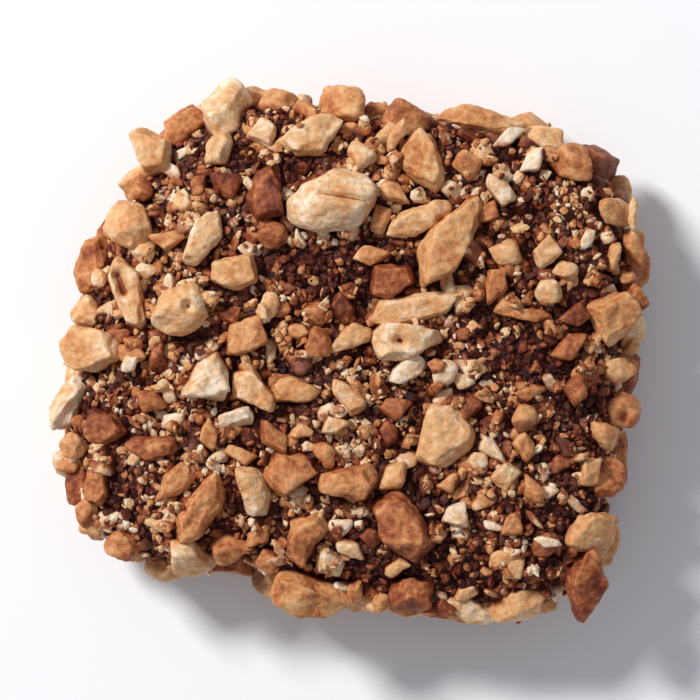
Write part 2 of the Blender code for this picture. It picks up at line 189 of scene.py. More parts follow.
def tiltOfRing(ring):
    rise = (1 - ring ** slab["edgeRoundness"]) ** (1 / slab["edgeRoundness"])
    return math.atan2(rise, ring)


def slabNormal(angle, tilt):
    step = slab["normalStep"]
    along = slabPoint(angle + step, tilt) - slabPoint(angle - step, tilt)
    up = slabPoint(angle, tilt + step) - slabPoint(angle, tilt - step)
    return along.cross(up).normalized()


def facing(normal, turn):
    # the axes of a piece that lies flat against a surface, its length turned in it
    lengthAxis = Vector((math.cos(turn), math.sin(turn), 0))
    if abs(normal.z) < nutRules["steep"]:
        roundSide = Vector((0, 0, 1)).cross(normal).normalized()
        lengthAxis = roundSide * math.cos(turn) + normal.cross(roundSide) * math.sin(turn)
    lengthAxis = (lengthAxis - normal * lengthAxis.dot(normal)).normalized()
    return Matrix((lengthAxis, normal.cross(lengthAxis), normal)).transposed()


def makePiece(kind, foot, normal, length, width, turn, narrowing=0.0, tone=0.5):
    height = width * nutRules["heightToWidth"][kind]
    return {
        "kind": kind,
        "centre": foot + normal * height * nutRules["lift"][kind],
        "axes": facing(normal, turn),
        "size": (length, width, height),
        "narrowing": narrowing,
        "tone": tone,
    }


def pieceByHand(kind, index, x, y, length, width, turnDegrees, narrowing, tone):
    # a piece of the table, laid on the slab's top or stuck out round its rim
    rng = random.Random(nutRules["leanSeed"] + index)
    angle = math.atan2(y, x)
    ring = math.hypot(x, y) / outlineRadius(angle)
    lean = Vector((rng.uniform(-1, 1), rng.uniform(-1, 1), 0)) * nutRules["lean"] / 2
    turn = math.radians(turnDegrees)
    if ring < nutRules["rim"]:
        foot = slabPoint(angle, tiltOfRing(ring))
        upright = slabNormal(angle, tiltOfRing(ring)) + Vector((0, 0, nutRules["topUpright"]))
        return makePiece(kind, foot, (upright + lean).normalized(), length, width, turn, narrowing, tone)
    rise = rng.uniform(*nutRules["rimHeight"]) * slab["thickness"] / 2
    height = width * nutRules["heightToWidth"][kind]
    outward = Vector((x, y, 0)).normalized() * nutRules["rimOutward"]
    normal = (outward + Vector((0, 0, 1)) + lean).normalized()
    foot = Vector((x, y, slabMiddle + rise)) - normal * height * nutRules["lift"][kind]
    return makePiece(kind, foot, normal, length, width, turn, narrowing, tone)


def piecesByHand():
    pieces = []
    for kind, table in largePieces.items():
        for row in table:
            pieces.append(pieceByHand(kind, len(pieces), *row))
    return pieces


def randomPlace(rng):
    angle = rng.uniform(-math.pi, math.pi)
    share = rng.random()
    if share < nutRules["sideShare"]:
        return angle, rng.uniform(-nutRules["sideTilt"], nutRules["sideTilt"])
    tilt = tiltOfRing(math.sqrt(rng.random()))
    return angle, tilt if share < nutRules["sideShare"] + nutRules["topShare"] else -tilt


def standsClear(piece, other, spacing):
    gap = (piece["centre"] - other["centre"]).length
    reach = (piece["size"][0] + piece["size"][1] + other["size"][0] + other["size"][1]) / 4
    return gap > reach * spacing


def scatter(pieces):
    rng = random.Random(nutRules["scatterSeed"])
    toneRng = random.Random(nutRules["scatterSeed"])  # apart, so tones never move a piece
    for low, high, most, spacing in nutRules["sizes"]:
        placed = 0
        for _ in range(most * nutRules["triesEach"]):
            if placed == most:
                break
            angle, tilt = randomPlace(rng)
            length = rng.uniform(low, high)
            width = length * rng.uniform(*nutRules["widthToLength"])
            turn = rng.uniform(-math.pi, math.pi)
            lean = Vector([rng.uniform(-nutRules["lean"], nutRules["lean"]) for _ in range(3)])
            foot = slabPoint(angle, tilt)
            normal = slabNormal(angle, tilt)
            tooLong = length > nutRules["longestOnTop"]
            if normal.z > nutRules["topFacing"] and (tooLong or insideAny(crumbPatches, foot.x, foot.y)):
                continue
            kind = "kernel" if rng.random() < nutRules["kernelShare"] else "chunk"
            piece = makePiece(kind, foot, (normal + lean).normalized(), length, width, turn)
            if all(standsClear(piece, other, spacing) for other in pieces):
                piece["tone"] = drawnTone(toneRng, nutRules["tones"])
                pieces.append(piece)
                placed += 1
    return pieces


def drawnTone(rng, tones):
    # tones holds shares that add up, each with the span that its tone is drawn from
    draw = rng.random()
    return rng.uniform(*next(span for share, span in tones if draw < share))


def cornerPoints(rng, kind, length, narrowing):
    # in halves of the piece's size; its width and height lessen toward the narrow end
    narrowed = []
    for x, y, z in roundedPoints(rng) if kind == "kernel" else cleavedPoints(rng, length):
        left = 1 - narrowing * (1 + x) / 2
        narrowed.append((x, y * left, z if z < 0 else z * math.sqrt(left)))
    return narrowed


def cleavedPoints(rng, length):
    points = []
    count = next(count for longest, count in nutRules["cornerCounts"] if length < longest)
    start = rng.uniform(0, math.tau)
    for index in range(count):
        shift = rng.uniform(-nutRules["cornerShift"], nutRules["cornerShift"])
        angle = start + (index + shift) * math.tau / count
        pull = rng.uniform(*nutRules["cornerPull"])
        taper = rng.uniform(*nutRules["topTaper"])
        x, y = math.cos(angle) * pull, math.sin(angle) * pull
        points.append((x, y, -1.0))
        points.append((x * taper, y * taper, rng.uniform(*nutRules["topUneven"])))
    return points


def roundedPoints(rng):
    points = []
    count = nutRules["kernelPoints"]
    for index in range(count):
        height = 1 - 2 * (index + 0.5) / count
        ring = math.sqrt(1 - height * height)
        angle = index * math.pi * (3 - math.sqrt(5))
        pull = rng.uniform(*nutRules["kernelPull"])
        points.append((ring * math.cos(angle) * pull, ring * math.sin(angle) * pull, height * pull))
    return points


def hullPlanes(points):
    # the flat faces that a knife left, as normals and their distance from the middle
    alike = 0.985  # faces whose normals agree this well count as one
    nearest = 0.12  # no face is nearer the middle
    bm = bmesh.new()
    for point in points:
        bm.verts.new(point)
    bmesh.ops.convex_hull(bm, input=bm.verts)
    bmesh.ops.recalc_face_normals(bm, faces=bm.faces)
    normals, offsets = [], []
    for face in bm.faces:
        if all(face.normal.dot(Vector(other)) < alike for other in normals):
            normals.append(tuple(face.normal))
            offsets.append(max(face.normal.dot(face.verts[0].co), nearest))
    bm.free()
    return np.array(normals), np.array(offsets)


# how broken each kind of piece is: how hard its edges are, how uneven its faces, how many bites are
# out of it, and how far it may be stretched to reach its corners
broken = {
    "kernel": {"roundness": 7, "unevenness": 0.025, "bites": 2, "longest": 1.3},
    "chunk": {"roundness": 14, "unevenness": 0.03, "bites": 5, "longest": 1.14},
    "plate": {"roundness": 12, "unevenness": 0.04, "bites": 5, "longest": 1.14},
    "loose": {"roundness": 15, "unevenness": 0.06, "bites": 2, "longest": 1.2},
}
bite = {"size": (0.5, 1.6), "depth": (0.04, 0.16)}  # in half lengths
bluntness = 1.32  # how far a corner may reach, in mean radii
waves = {"count": 5, "low": 3, "high": 9}  # of a face's unevenness


@cache
def unitBall(detail):
    bm = bmesh.new()
    bmesh.ops.create_icosphere(bm, subdivisions=detail, radius=1)
    directions = np.array([vert.co for vert in bm.verts])
    faces = np.array([[vert.index for vert in face.verts] for face in bm.faces])
    bm.free()
    return directions / np.linalg.norm(directions, axis=1, keepdims=True), faces


def ripple(directions, rng, count, low, high):
    # a smooth uneven field over a ball, about -1 to 1
    total = np.zeros(len(directions))
    for _ in range(count):
        axis = rng.normal(size=3)
        axis /= np.linalg.norm(axis)
        total += np.sin(directions @ axis * rng.uniform(low, high) + rng.uniform(0, math.tau))
    return total / math.sqrt(count)


def bitten(directions, radius, rng, count):
    # hollows that broke out of the faces, with crisp rims between them
    for _ in range(count):
        way = rng.normal(size=3)
        way /= np.linalg.norm(way)
        size = rng.uniform(*bite["size"])
        away = radius[np.argmax(directions @ way)] + size - rng.uniform(*bite["depth"])
        along = directions @ way * away
        reach = along**2 - away**2 + size**2
        entry = along - np.sqrt(np.maximum(reach, 0))
        radius = np.where((reach > 0) & (along > 0), np.minimum(radius, entry), radius)
    return radius


def brokenShape(directions, corners, rng, rules):
    # a knife's flat faces, softened and chipped, that reach as far as the corners do
    normals, offsets = hullPlanes(corners)
    terms = (np.maximum(directions @ normals.T, 0) / offsets) ** rules["roundness"]
    total = terms.sum(axis=1)
    rim = 1 - terms.max(axis=1) / total
    radius = total ** (-1 / rules["roundness"])
    radius *= 1 + rules["unevenness"] * ripple(directions, rng, **waves)
    radius = bitten(directions, radius, rng, rules["bites"])
    radius = np.minimum(radius, bluntness * radius.mean())
    points = directions * radius[:, None]
    stretch = np.minimum(np.ptp(corners, axis=0) / np.ptp(points, axis=0), rules["longest"])
    middle = (np.min(corners, axis=0) + np.max(corners, axis=0)) / 2
    return (points - (points.min(axis=0) + points.max(axis=0)) / 2) * stretch + middle, rim


def roughened(points, outward, relief):
    # broken nut: soft hollows and a fine grain, worked out where each point lies, in mm
    pushed = []
    for point, way in zip(points.tolist(), outward.tolist()):
        spot = Vector(point)
        push = sum(noise.noise(spot / size) * height for size, height in relief)
        pushed.append([part + step * push for part, step in zip(point, way)])
    return np.array(pushed)


def meshPiece(name, points, faces, material, values, tiles=None):
    # triangles in mm, with a value of each kind for every point, in place of the plain solid
    mesh = bpy.data.meshes.new(name)
    mesh.vertices.add(len(points))
    mesh.vertices.foreach_set("co", (points * mm).ravel())
    mesh.loops.add(faces.size)
    mesh.loops.foreach_set("vertex_index", faces.ravel())
    mesh.polygons.add(len(faces))
    mesh.polygons.foreach_set("loop_start", np.arange(len(faces)) * 3)
    mesh.update(calc_edges=True)
    for key, data in values.items():
        mesh.attributes.new(key, "FLOAT", "POINT").data.foreach_set("value", data.ravel())
    if tiles is not None:
        mesh.uv_layers.new(name="OFBake").data.foreach_set("uv", tiles.ravel())
    mesh.shade_smooth()
    mesh.materials.append(material)
    piece = bpy.data.objects.new(name, mesh)
    bpy.context.scene.collection.objects.link(piece)
    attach(piece, "root")
    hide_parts(crunchNode)
    print(f"{name}: {len(faces)} faces")
    return piece


def tilesFor(count, directions, faces):
    # each grain has a tile of its own, its upper and lower half side by side, with a margin
    fill = 0.38
    columns = math.ceil(math.sqrt(count / 2))
    rows = math.ceil(count / columns)
    corners = directions[faces]
    side = np.where(corners.mean(axis=1)[:, 2] >= 0, 1.0, -1.0)[:, None]
    flat = np.linalg.norm(corners[..., :2], axis=2) + 1e-9
    reach = np.sqrt(np.maximum(1 - corners[..., 2] * side, 0)) / flat
    local = corners[..., :2] * reach[..., None]
    u = 0.5 - side / 4 + fill / 2 * local[..., 0]
    v = 0.5 + fill * local[..., 1]
    number = np.arange(count)[:, None, None]
    return np.stack([(number % columns + u) / columns, (number // columns + v) / rows], axis=-1)


def slabLevel(points):
    # 1 on the bare slab, more outside it, for many points at once
    x, y, z = points.T
    angle = np.arctan2(y, x)
    local = angle - slab["turn"]
    across = np.abs(np.cos(local) / (slab["length"] / 2)) ** slab["squareness"]
    along = np.abs(np.sin(local) / (slab["width"] / 2)) ** slab["squareness"]
    radius = (across + along) ** (-1 / slab["squareness"])
    for centre, amount, spread in slab["bulges"]:
        off = (np.degrees(angle) - centre + 180) % 360 - 180
        radius += amount * np.exp(-((off / spread) ** 2))
    power = slab["edgeRoundness"]
    ring = np.hypot(x, y) / radius
    rise = np.abs(z - slabMiddle) / (slab["thickness"] / 2)
    return (ring**power + rise**power) ** (1 / power)


# cracks and small holes in the nuts on top: from x, y to x, y, half width and depth
hollows = (
    (-2.7, 13.5, 0.9, 12.9, 0.28, 0.50), (-13.9, 4.2, -13.8, 4.1, 0.40, 0.9),
    (-19.8, 6.7, -19.3, 5.3, 0.42, 1.3), (3.7, 1.3, 3.9, 1.2, 0.35, 0.8),
    (22.6, -5.3, 22.8, -5.0, 0.60, 0.5), (3.2, -12.4, 5.4, -15.8, 0.25, 0.25),
    (7.0, 11.6, 8.6, 8.4, 0.25, 0.15),
)
paintedShadeDepth = 0.4  # a hollow this deep is fully dark inside, as painted shade


def sinkHollows(points):
    # presses them into the pieces and returns how far in one each point lies, 0 to 1
    inside = np.zeros(len(points))
    for startX, startY, endX, endY, width, depth in hollows:
        way = np.array((endX - startX, endY - startY))
        offset = points[:, :2] - (startX, startY)
        along = np.clip(offset @ way / (way @ way), 0, 1)
        away = np.linalg.norm(offset - along[:, None] * way, axis=1)
        sunk = np.exp(-((away / width) ** 2)) * (points[:, 2] > slabMiddle)
        points[:, 2] -= depth * sunk
        inside = np.maximum(inside, sunk * min(depth / paintedShadeDepth, 1))
    return inside


def standOff(points):
    # how far each point stands off the chocolate, in mm
    step = 0.05
    level = slabLevel(points)
    slopes = [(slabLevel(points + np.eye(3)[axis] * step) - level) / step for axis in range(3)]
    return (level - 1) / np.linalg.norm(slopes, axis=0)


print("frame loaded:", list(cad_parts))
pieces = scatter(piecesByHand())
corners = []
for number, piece in enumerate(pieces):
    shape = random.Random(nutRules["shapeSeed"] + number)
    piece["corners"] = cornerPoints(shape, piece["kind"], piece["size"][0], piece["narrowing"])
    half = Vector(piece["size"]) / 2
    corners += [piece["axes"] @ (Vector(point) * half) + piece["centre"] for point in piece["corners"]]
corners = np.array(corners)
toOrigin = -(corners.min(axis=0) + corners.max(axis=0)) / 2 * (1, 1, 0)  # the solid stands centred
print("pieces:", len(pieces), "moved by", np.round(toOrigin, 3).tolist())


def hexToLinear(text):
    channels = [int(text[place : place + 2], 16) / 255 for place in (1, 3, 5)]
    linear = [c / 12.92 if c <= 0.04045 else ((c + 0.055) / 1.055) ** 2.4 for c in channels]
    return (*linear, 1.0)


def addNode(tree, kind, settings=None, links=None):
    added = tree.nodes.new(kind)
    for key, value in (settings or {}).items():
        if isinstance(key, int) or key in added.inputs:
            added.inputs[key].default_value = value
        else:
            setattr(added, key, value)
    for key, source in (links or {}).items():
        tree.links.new(source, added.inputs[key])
    return added


def addRamp(tree, source, stops):
    ramp = addNode(tree, "ShaderNodeValToRGB", links={"Fac": source})
    elements = ramp.color_ramp.elements
    for number, (position, colour) in enumerate(stops):
        element = elements[number] if number < 2 else elements.new(position)
        element.position = position
        element.color = hexToLinear(colour)
    return ramp


def newMaterial(name):
    material = bpy.data.materials.new(name)
    material.use_nodes = True
    tree = material.node_tree
    tree.nodes.clear()
    return material, tree


def perMm(size):
    # a noise scale that gives features about this many mm across
    return 1 / (size * mm)


def fromTo(values):
    # a range and the one that it becomes, as a node's settings
    return dict(zip(("From Min", "From Max", "To Min", "To Max"), values))


almondLook = {
    "tones": (
        (0.00, "#602818"), (0.22, "#954e2d"), (0.42, "#bf7847"), (0.60, "#d49863"),
        (0.76, "#deae7c"), (0.90, "#e8c6a0"), (1.00, "#f1dabf"),
    ),
    "skin": "#74381f",
    "filmAndShade": ((0.00, "#ffffff"), (0.45, "#b98678"), (1.00, "#452229")),  # chocolate on it, none to thick; near a piece's base and in its hollows it is also painted shade
    "patterns": {"patch": (2.2, 2.0), "grain": (0.45, 3.0), "pore": (0.16, 2.0)},  # size in mm, detail
    # each of these turns a pattern's range, its first two values, into the range of the last two
    "patchTone": (0.3, 0.7, -0.17, 0.14),
    "grainTone": (0.3, 0.7, -0.15, 0.13),
    # paler broken edges and corners, partly a painted highlight along them
    "edgeToneAndHighlight": (0.1, 0.6, 0.0, 0.14),
    "skinCover": (0.95, 1.20, 0.0, 0.7),
    "filmCover": (0.25, 0.95, 0.9, 0.0),
    "roughness": (0.0, 1.0, 0.48, 0.70),
    "skinRagged": 0.5,  # how unevenly the skin ends, and the chocolate
    "filmRagged": 0.9,
    "poreHeight": 0.4,  # next to the grain's
    "bumpStrength": 0.7,
    "bumpMm": 0.2,
    "subsurface": 0.12,
    "subsurfaceMm": 0.5,
    "ior": 1.47,
    "specular": 0.3,
}


def choppedRoastAlmond(name, look):
    # dry-roasted almond, cleaved by a knife: matt and granular, browned in patches, paler on
    # its broken edges, partly as a painted highlight, and stained where it sits in the chocolate,
    # which is also painted shade at its base and in its hollows
    material, tree = newMaterial(name)
    place = addNode(tree, "ShaderNodeTexCoord").outputs["Object"]
    patterns = {}
    for key, (size, detail) in look["patterns"].items():
        settings = {"Scale": perMm(size), "Detail": detail}
        patterns[key] = addNode(tree, "ShaderNodeTexNoise", settings, {"Vector": place}).outputs["Fac"]
    stored = {}
    for key in ("tone", "rim", "skin", "stand"):
        stored[key] = addNode(tree, "ShaderNodeAttribute", {"attribute_name": key}).outputs["Fac"]

    tone = stored["tone"]
    changes = {"patchTone": patterns["patch"], "grainTone": patterns["grain"], "edgeToneAndHighlight": stored["rim"]}
    for key, pattern in changes.items():
        change = addNode(tree, "ShaderNodeMapRange", fromTo(look[key]), {"Value": pattern})
        total = addNode(tree, "ShaderNodeMath", {"operation": "ADD"}, {0: tone, 1: change.outputs[0]})
        tone = total.outputs[0]
    nut = addRamp(tree, tone, look["tones"])

    ragged = {"operation": "MULTIPLY_ADD", 1: look["skinRagged"]}
    skin = addNode(tree, "ShaderNodeMath", ragged, {0: patterns["grain"], 2: stored["skin"]})
    cover = addNode(tree, "ShaderNodeMapRange", fromTo(look["skinCover"]), {"Value": skin.outputs[0]})
    skinned = addNode(tree, "ShaderNodeMix", {"data_type": "RGBA", 7: hexToLinear(look["skin"])},
                      {"Factor": cover.outputs[0], 6: nut.outputs["Color"]})

    # the chocolate's film darkens each piece near the coat: real chocolate, and painted shade where it meets
    # the coat
    ragged = {"operation": "MULTIPLY_ADD", 1: look["filmRagged"]}
    bare = addNode(tree, "ShaderNodeMath", ragged, {0: patterns["patch"], 2: stored["stand"]})
    thick = addNode(tree, "ShaderNodeMapRange", fromTo(look["filmCover"]), {"Value": bare.outputs[0]})
    filmAndShade = addRamp(tree, thick.outputs[0], look["filmAndShade"])
    stained = addNode(tree, "ShaderNodeMix", {"data_type": "RGBA", "blend_type": "MULTIPLY", "Factor": 1.0},
                      {6: skinned.outputs[2], 7: filmAndShade.outputs["Color"]})

    rough = addNode(tree, "ShaderNodeMapRange", fromTo(look["roughness"]), {"Value": patterns["grain"]})
    heights = addNode(tree, "ShaderNodeMath", {"operation": "MULTIPLY_ADD", 1: look["poreHeight"]},
                      {0: patterns["pore"], 2: patterns["grain"]})
    relief = {"Strength": look["bumpStrength"], "Distance": look["bumpMm"] * mm}
    bump = addNode(tree, "ShaderNodeBump", relief, {"Height": heights.outputs[0]})
    feel = {
        "Subsurface Weight": look["subsurface"],
        "Subsurface Scale": look["subsurfaceMm"] * mm,
        "IOR": look["ior"],
        "Specular IOR Level": look["specular"],
    }
    links = {"Base Color": stained.outputs[2], "Roughness": rough.outputs[0], "Normal": bump.outputs[0]}
    shader = addNode(tree, "ShaderNodeBsdfPrincipled", feel, links)
    addNode(tree, "ShaderNodeOutputMaterial", links={"Surface": shader.outputs[0]})
    return material


chocolateLook = {
    "dark": "#260b11",
    "light": "#451c1e",
    "dust": "#83452d",
    "patterns": {"patch": (1.6, 3.0), "dust": (0.5, 2.0)},  # size in mm, detail
    "lightCover": (0.35, 0.7, 0.0, 1.0),
    "dustCover": (0.56, 0.68, 0.0, 0.7),
    "roughness": (0.0, 1.0, 0.55, 0.85),  # bare to dusty
    "bumpStrength": 0.5,
    "bumpMm": 0.1,
    "ior": 1.46,
    "specular": 0.15,
}


def dippedDarkChocolate(name, look):
    # dark couverture that set on the toffee: near black and softly glossy, powdered with
    # the finest dust of the almonds it was rolled in
    material, tree = newMaterial(name)
    place = addNode(tree, "ShaderNodeTexCoord").outputs["Object"]
    patterns = {}
    for key, (size, detail) in look["patterns"].items():
        settings = {"Scale": perMm(size), "Detail": detail}
        patterns[key] = addNode(tree, "ShaderNodeTexNoise", settings, {"Vector": place}).outputs["Fac"]
    shade = addNode(tree, "ShaderNodeMapRange", fromTo(look["lightCover"]), {"Value": patterns["patch"]})
    colours = {"data_type": "RGBA", 6: hexToLinear(look["dark"]), 7: hexToLinear(look["light"])}
    body = addNode(tree, "ShaderNodeMix", colours, {"Factor": shade.outputs[0]})
    dusty = addNode(tree, "ShaderNodeMapRange", fromTo(look["dustCover"]), {"Value": patterns["dust"]})
    dusted = addNode(tree, "ShaderNodeMix", {"data_type": "RGBA", 7: hexToLinear(look["dust"])},
                     {"Factor": dusty.outputs[0], 6: body.outputs[2]})
    rough = addNode(tree, "ShaderNodeMapRange", fromTo(look["roughness"]), {"Value": dusty.outputs[0]})
    relief = {"Strength": look["bumpStrength"], "Distance": look["bumpMm"] * mm}
    bump = addNode(tree, "ShaderNodeBump", relief, {"Height": patterns["dust"]})
    feel = {"IOR": look["ior"], "Specular IOR Level": look["specular"]}
    links = {"Base Color": dusted.outputs[2], "Roughness": rough.outputs[0], "Normal": bump.outputs[0]}
    shader = addNode(tree, "ShaderNodeBsdfPrincipled", feel, links)
    addNode(tree, "ShaderNodeOutputMaterial", links={"Surface": shader.outputs[0]})
    return material


almond = choppedRoastAlmond("chopped_roast_almond", almondLook)
chocolate = dippedDarkChocolate("dipped_dark_chocolate", chocolateLook)
print("materials made")

coat = {
    "detail": 7,
    "below": 0.35,  # how far it lies under the solid's smooth slab, to leave room for the crumbs
    "lumpMm": 1.1,  # buried crumbs
    "lumpHeight": 0.45,
    "swellMm": 3.4,
    "swellHeight": 0.35,
}


def chocolateCoat(settings):
    directions, faces = unitBall(settings["detail"])
    points = []
    for x, y, z in directions:
        angle, tilt = math.atan2(y, x), math.atan2(z, math.hypot(x, y))
        point = slabPoint(angle, tilt)
        lump = noise.noise(point / settings["lumpMm"]) * settings["lumpHeight"]
        lump += noise.noise(point / settings["swellMm"]) * settings["swellHeight"] - settings["below"]
        points.append(point + slabNormal(angle, tilt) * lump)
    return np.array(points), faces


coatPoints, coatFaces = chocolateCoat(coat)
coatPiece = meshPiece("chocolateCoat", coatPoints + toOrigin, coatFaces, chocolate, {})

largeNuts = {
    "seed": 5,
    "relief": ((1.9, 0.24), (0.7, 0.14), (0.35, 0.05)),  # size across and height, in mm
    "reliefLength": 4,  # shorter ones have lower relief
    "skinShare": 0.14,  # how many of the scattered ones keep some of their brown skin
    "skinStart": 0.1,
    "skinSharpness": 1.6,
    "clean": 0.2,  # how far they stand off the chocolate's stain, on top of their height
    "lumpLength": 4.3,  # pieces of the table this long get the finest mesh
    "smallLength": 3.8,
    "underneath": -0.5,
}
nutNames = {5: "almondLumps", 4: "almondChunks", 3: "almondPieces"}  # by how fine their mesh is
smoothDetail = 3  # coarser meshes keep their flat faces
standLimits = (-2, 6)


def largeNutShapes(settings):
    rng = np.random.default_rng(settings["seed"])
    groups = {detail: [] for detail in nutNames}
    byHand = sum(len(table) for table in largePieces.values())
    for number, piece in enumerate(pieces):
        length = piece["size"][0]
        lump = number < byHand and length > settings["lumpLength"]
        large = length > settings["smallLength"] and piece["axes"].col[2].z > settings["underneath"]
        detail = 5 if lump else 4 if number < byHand or large else 3
        directions, _ = unitBall(detail)
        local, rim = brokenShape(directions, piece["corners"], rng, broken[piece["kind"]])
        axes = np.array(piece["axes"]).T
        placed = local * np.array(piece["size"]) / 2 @ axes + np.array(piece["centre"])
        share = min(length / settings["reliefLength"], 1)
        relief = [(size, height * share) for size, height in settings["relief"]]
        placed = roughened(placed, directions @ axes, relief)
        skinAxis = rng.normal(size=3)
        skinAxis /= np.linalg.norm(skinAxis)
        hasSkin = rng.random() < settings["skinShare"] and number >= byHand
        skin = (directions @ skinAxis - settings["skinStart"]) * settings["skinSharpness"]
        groups[detail].append({
            "points": placed,
            "rim": rim,
            "skin": np.clip(skin, 0, 1) * hasSkin,
            "tone": piece["tone"],
            "clean": settings["clean"],
        })
    return groups


def grainPiece(name, shapes, detail):
    # joins the shapes of one kind into a mesh, each with its own tone, skin and tile
    directions, faces = unitBall(detail)
    points = np.concatenate([shape["points"] for shape in shapes])
    points[:, 2] = np.maximum(points[:, 2], 0)
    inside = sinkHollows(points)
    count, size = len(shapes), len(directions)
    allFaces = (faces[None] + (np.arange(count) * size)[:, None, None]).reshape(-1, 3)
    stand = np.clip(standOff(points), *standLimits) + np.repeat([shape["clean"] for shape in shapes], size)
    values = {
        "tone": np.repeat([shape["tone"] for shape in shapes], size),
        "rim": np.concatenate([shape["rim"] for shape in shapes]),
        "skin": np.concatenate([shape["skin"] for shape in shapes]),
        # inside the hollows the stand falls to nothing, so they take the full dark film: painted shade
        "stand": stand * (1 - inside),
    }
    tiles = tilesFor(count, directions, faces)
    piece = meshPiece(name, points + toOrigin, allFaces, almond, values, tiles)
    if detail < smoothDetail:
        piece.data.shade_flat()
    return points, allFaces


shells = [(coatPoints, coatFaces)]
firstNutFace = len(coatFaces)
for detail, shapes in largeNutShapes(largeNuts).items():
    shells.append(grainPiece(nutNames[detail], shapes, detail))


def treeOf(parts):
    # what a falling grain can land on
    offset, points, faces = 0, [], []
    for partPoints, partFaces in parts:
        points.append(partPoints)
        faces.append(partFaces + offset)
        offset += len(partPoints)
    return BVHTree.FromPolygons(np.concatenate(points).tolist(), np.concatenate(faces).tolist())


# finer almond, from chips down to crumbs: how it is spread over the coat
fineAlmond = (
    {
        "name": "almondChips", "seed": 11, "tries": 9000, "most": 330, "detail": 3, "length": (1.8, 3.0),
        "spacing": 0.80, "onNuts": 0.0, "onFine": 0.0, "shapes": 40, "sink": 0.15, "cleanShare": 0.46,
    },
    {
        "name": "almondBits", "seed": 12, "tries": 16000, "most": 2200, "detail": 2, "length": (0.9, 1.8),
        "spacing": 0.62, "onNuts": 0.0, "onFine": 0.25, "shapes": 32, "sink": 0.10, "cleanShare": 0.34,
    },
    {
        "name": "almondCrumbs", "seed": 13, "tries": 34000, "most": 9400, "detail": 1,
        "length": (0.35, 0.95), "spacing": 0.0, "onNuts": 0.0005, "onFine": 0.30, "shapes": 24, "sink": 0.0,
        "cleanShare": 0.24,
    },
)
# what they have in common, in mm and shares
strewing = {
    "weights": {"top": 1.25, "side": 1.0, "under": 0.7},
    "facing": 0.6,  # how upright a face of the coat is that counts as top or underside
    "rayMm": 9,  # each falls from this far out
    "highestMm": 16.3,
    "proudestMm": 16.3 / 3,  # none lies on what stands farther off the coat
    "topFacing": 0.5,
    "longestInPatches": 1.5,
    "widthToLength": (0.5, 0.95),
    "thickToWidth": (0.35, 0.75),
    "settled": (0.3, 1.0),
    "lying": 0.7,
    "kernelShare": 0.15,
    "shortShare": 0.6,  # these get the corners of a nut of the short length, the others of the long
    "short": 2,
    "long": 4,
    "narrowing": 0.2,
    "clean": (0.5, 1.4),  # how far one seems to stand off the chocolate's stain, clean and stained
    "stained": (-0.6, 0.2),
    "tones": ((0.30, (0.10, 0.45)), (0.72, (0.45, 0.80)), (1.00, (0.80, 1.00))),
    "palest": 0.90,
    "toneDrift": {"size": 7.0, "amount": 0.22},  # brown ones and pale ones lie in drifts
    "stainDrift": {"size": 3.0, "amount": 1.5},  # chocolate soaked up in some places and not in others
}
# where crumbs are few and dark, partly with chocolate and partly as painted shadow from the pieces beside
# them: x, y, half width, half height
darkAndShadowedPatches = (
    (-3.5, 7.5, 4.4, 1.9), (14.1, 0.1, 2.6, 2.0), (9.1, -18.0, 2.9, 2.5), (-19.6, -11.4, 1.8, 2.4),
    (-10.8, -12.5, 1.2, 2.6), (16.0, -13.7, 3.2, 1.4), (6.4, 7.2, 2.2, 1.2), (19.0, 3.5, 1.4, 3.0),
    (2.6, -18.2, 3.4, 1.8), (20.4, -7.0, 1.6, 1.8), (20.4, -11.6, 1.8, 1.6),
)
# where they lie thick, with hardly any chocolate on them
palePatches = (
    (15.2, 12.4, 3.8, 2.8), (-14.8, 12.8, 2.2, 2.6), (-14.8, -2.6, 4.2, 2.6), (0.6, -2.6, 2.4, 1.8),
    (10.0, 13.6, 1.8, 1.8), (-15.0, 7.2, 1.6, 2.0), (-8.6, -18.0, 2.6, 1.4), (-19.4, -2.6, 2.8, 1.6),
    (0.4, -7.2, 3.4, 2.0), (-6.0, -12.8, 2.4, 2.0), (1.2, 15.6, 2.4, 1.6),
)
darkAndShadowedCrumbs = {"share": 0.6, "longest": 1.3, "clean": 0.3, "tone": 0.72}
paleCrumbs = {"clean": 0.76, "tone": 1.04}


def spotsOn(points, faces, count, rng):
    # places spread by area over the coat, with the way that it faces
    a, b, c = points[faces[:, 0]], points[faces[:, 1]], points[faces[:, 2]]
    cross = np.cross(b - a, c - a)
    area = np.linalg.norm(cross, axis=1)
    normal = cross / area[:, None]
    weight = np.full(len(faces), strewing["weights"]["side"])
    weight[normal[:, 2] > strewing["facing"]] = strewing["weights"]["top"]
    weight[normal[:, 2] < -strewing["facing"]] = strewing["weights"]["under"]
    chosen = rng.choice(len(faces), size=count, p=area * weight / (area * weight).sum())
    u, v = rng.random(count), rng.random(count)
    fold = u + v > 1
    u[fold], v[fold] = 1 - u[fold], 1 - v[fold]
    return a[chosen] + (b - a)[chosen] * u[:, None] + (c - a)[chosen] * v[:, None], normal[chosen]


def turnOf(rng, normal, lying):
    # a random turn, its flat side laid against the surface as far as lying says
    up = np.asarray(normal) * lying + rng.normal(size=3) * (1 - lying)
    up /= np.linalg.norm(up)
    side = np.cross(up, rng.normal(size=3))
    side /= np.linalg.norm(side)
    return np.stack([side, np.cross(up, side), up], axis=1)


